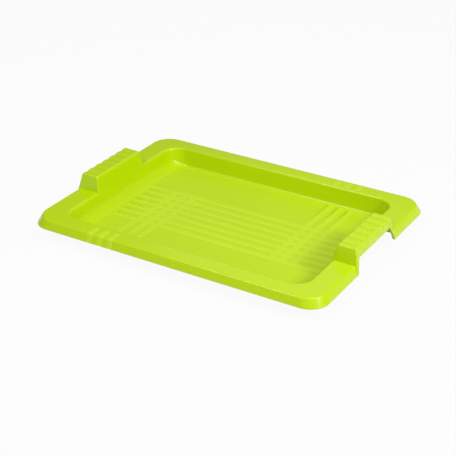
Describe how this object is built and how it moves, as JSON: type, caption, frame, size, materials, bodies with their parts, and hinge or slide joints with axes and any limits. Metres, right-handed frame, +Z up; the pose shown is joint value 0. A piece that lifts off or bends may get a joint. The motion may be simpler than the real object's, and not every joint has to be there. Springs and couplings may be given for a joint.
{
  "type": "carrying tray",
  "caption": "Shallow rectangular moulded plastic tray with a broad flat rim, sloping skirt, hollow fluted grip at each end and a raised stripe pattern on floor and rim.",
  "frame": {"origin": "middle of the tray on the plane it stands on", "axes": "+X along the length, towards the right grip; +Y across the width, away from the viewer of the picture; +Z up"},
  "size_m": [0.46, 0.3416, 0.0535],
  "materials": {
    "body": "glossy lime green moulded plastic",
    "stripes": "satin lime green moulded plastic, a little paler than the body"
  },
  "bodies": {
    "root": {"basin_floor": "body", "basin_wall": "body", "floor_stripes": "stripes", "near_flange": "body", "far_flange": "body", "near_skirt": "body", "far_skirt": "body", "near_rim_stripes": "stripes", "far_rim_stripes": "stripes", "left_grip": "body", "right_grip": "body"}
  },
  "joints": []
}
